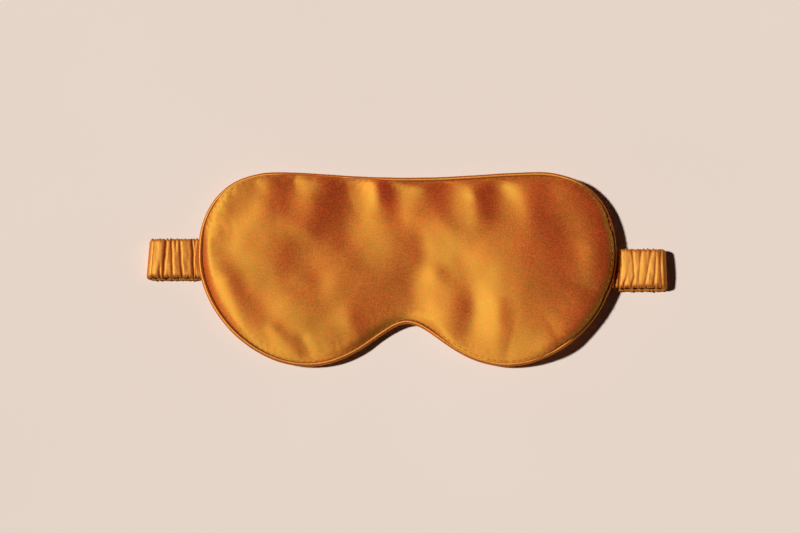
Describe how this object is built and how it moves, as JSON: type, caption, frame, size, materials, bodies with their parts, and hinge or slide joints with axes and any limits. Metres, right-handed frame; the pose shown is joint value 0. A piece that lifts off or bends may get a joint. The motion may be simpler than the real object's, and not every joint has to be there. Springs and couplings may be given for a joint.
{
  "type": "sleep eye mask",
  "caption": "Padded satin sleep eye mask with a nose notch, piped edge and gathered elastic strap folded flat behind it.",
  "frame": {"origin": "on the table, under the middle of the mask's bounding box, with the mask lying face up on its folded strap", "axes": "+X along the strap, towards the side seam on the right in the picture; +Y towards the brow edge, so the nose notch is at -Y; +Z out of the front panel"},
  "size_m": [0.2588, 0.0978, 0.0135],
  "materials": {
    "satin_front": "golden satin weave",
    "satin_back": "golden satin weave",
    "satin_piping": "golden satin, bias cut over a cord",
    "satin_strap": "golden satin, gathered over elastic",
    "thread": "twisted polyester thread",
    "blackout_cloth": "plain matte weave",
    "wadding": "soft polyester wadding",
    "turned_edges": "wrong side of satin",
    "cotton_cord": "twisted cotton",
    "elastic": "braided elastic"
  },
  "bodies": {
    "strap_back": {"casing_back": "satin_strap", "elastic_back": "elastic"},
    "left_return": {"casing_left_return": "satin_strap", "elastic_left_return": "elastic"},
    "left_lower_loop": {"casing_left_lower": "satin_strap", "elastic_left_lower": "elastic"},
    "left_upper_loop": {"casing_left_upper": "satin_strap", "elastic_left_upper": "elastic"},
    "left_root": {"casing_left_root": "satin_strap", "elastic_left_root": "elastic"},
    "right_return": {"casing_right_return": "satin_strap", "elastic_right_return": "elastic"},
    "right_lower_loop": {"casing_right_lower": "satin_strap", "elastic_right_lower": "elastic"},
    "right_upper_loop": {"casing_right_upper": "satin_strap", "elastic_right_upper": "elastic"},
    "right_root": {"casing_right_root": "satin_strap", "elastic_right_root": "elastic"},
    "mask": {"front_panel": "satin_front", "blackout_liner": "blackout_cloth", "padding": "wadding", "back_panel": "satin_back", "piping_cover": "satin_piping", "piping_cord": "cotton_cord", "seam_allowance": "turned_edges", "edge_stitching": "thread", "left_sewn_end": "elastic", "right_sewn_end": "elastic", "left_tack": "thread", "right_tack": "thread"}
  },
  "joints": [
    {"name": "left_return_turn", "type": "hinge", "parent": "strap_back", "child": "left_return", "pos_m": [-0.1035, 0.0046, 0.0013], "axis": [0, 1, 0], "range_deg": [0, 80]},
    {"name": "elastic_stretch", "type": "slide", "parent": "left_return", "child": "left_lower_loop", "axis": [-1, 0, 0], "range_m": [0, 0.03], "stiffness_N_per_m": 60},
    {"name": "strap_open", "type": "hinge", "parent": "left_lower_loop", "child": "left_upper_loop", "pos_m": [-0.1294, 0.0056, 0.0028], "axis": [0, -1, 0], "range_deg": [0, 160]},
    {"name": "left_upper_stretch", "type": "slide", "parent": "left_upper_loop", "child": "left_root", "axis": [1, 0, 0], "range_m": [0, 0.03]},
    {"name": "left_seam_turn", "type": "hinge", "parent": "left_root", "child": "mask", "pos_m": [-0.1035, 0.0056, 0.0043], "axis": [0, 1, 0], "range_deg": [0, 80]},
    {"name": "right_return_turn", "type": "hinge", "parent": "strap_back", "child": "right_return", "pos_m": [0.1035, -0.0006, 0.0013], "axis": [0, -1, 0], "range_deg": [0, 80]},
    {"name": "right_lower_stretch", "type": "slide", "parent": "right_return", "child": "right_lower_loop", "axis": [1, 0, 0], "range_m": [0, 0.03]},
    {"name": "right_fold", "type": "hinge", "parent": "right_lower_loop", "child": "right_upper_loop", "pos_m": [0.1294, 0.0004, 0.0028], "axis": [0, 1, 0], "range_deg": [0, 160]},
    {"name": "right_upper_stretch", "type": "slide", "parent": "right_upper_loop", "child": "right_root", "axis": [-1, 0, 0], "range_m": [0, 0.03]}
  ],
  "couplings": [
    {"joint": "left_return_turn", "follows": "strap_open", "ratio": 0.5},
    {"joint": "left_seam_turn", "follows": "strap_open", "ratio": 0.5},
    {"joint": "right_return_turn", "follows": "strap_open", "ratio": 0.5},
    {"joint": "right_fold", "follows": "strap_open", "ratio": 1},
    {"joint": "left_upper_stretch", "follows": "elastic_stretch", "ratio": 1},
    {"joint": "right_lower_stretch", "follows": "elastic_stretch", "ratio": 1},
    {"joint": "right_upper_stretch", "follows": "elastic_stretch", "ratio": 1}
  ]
}
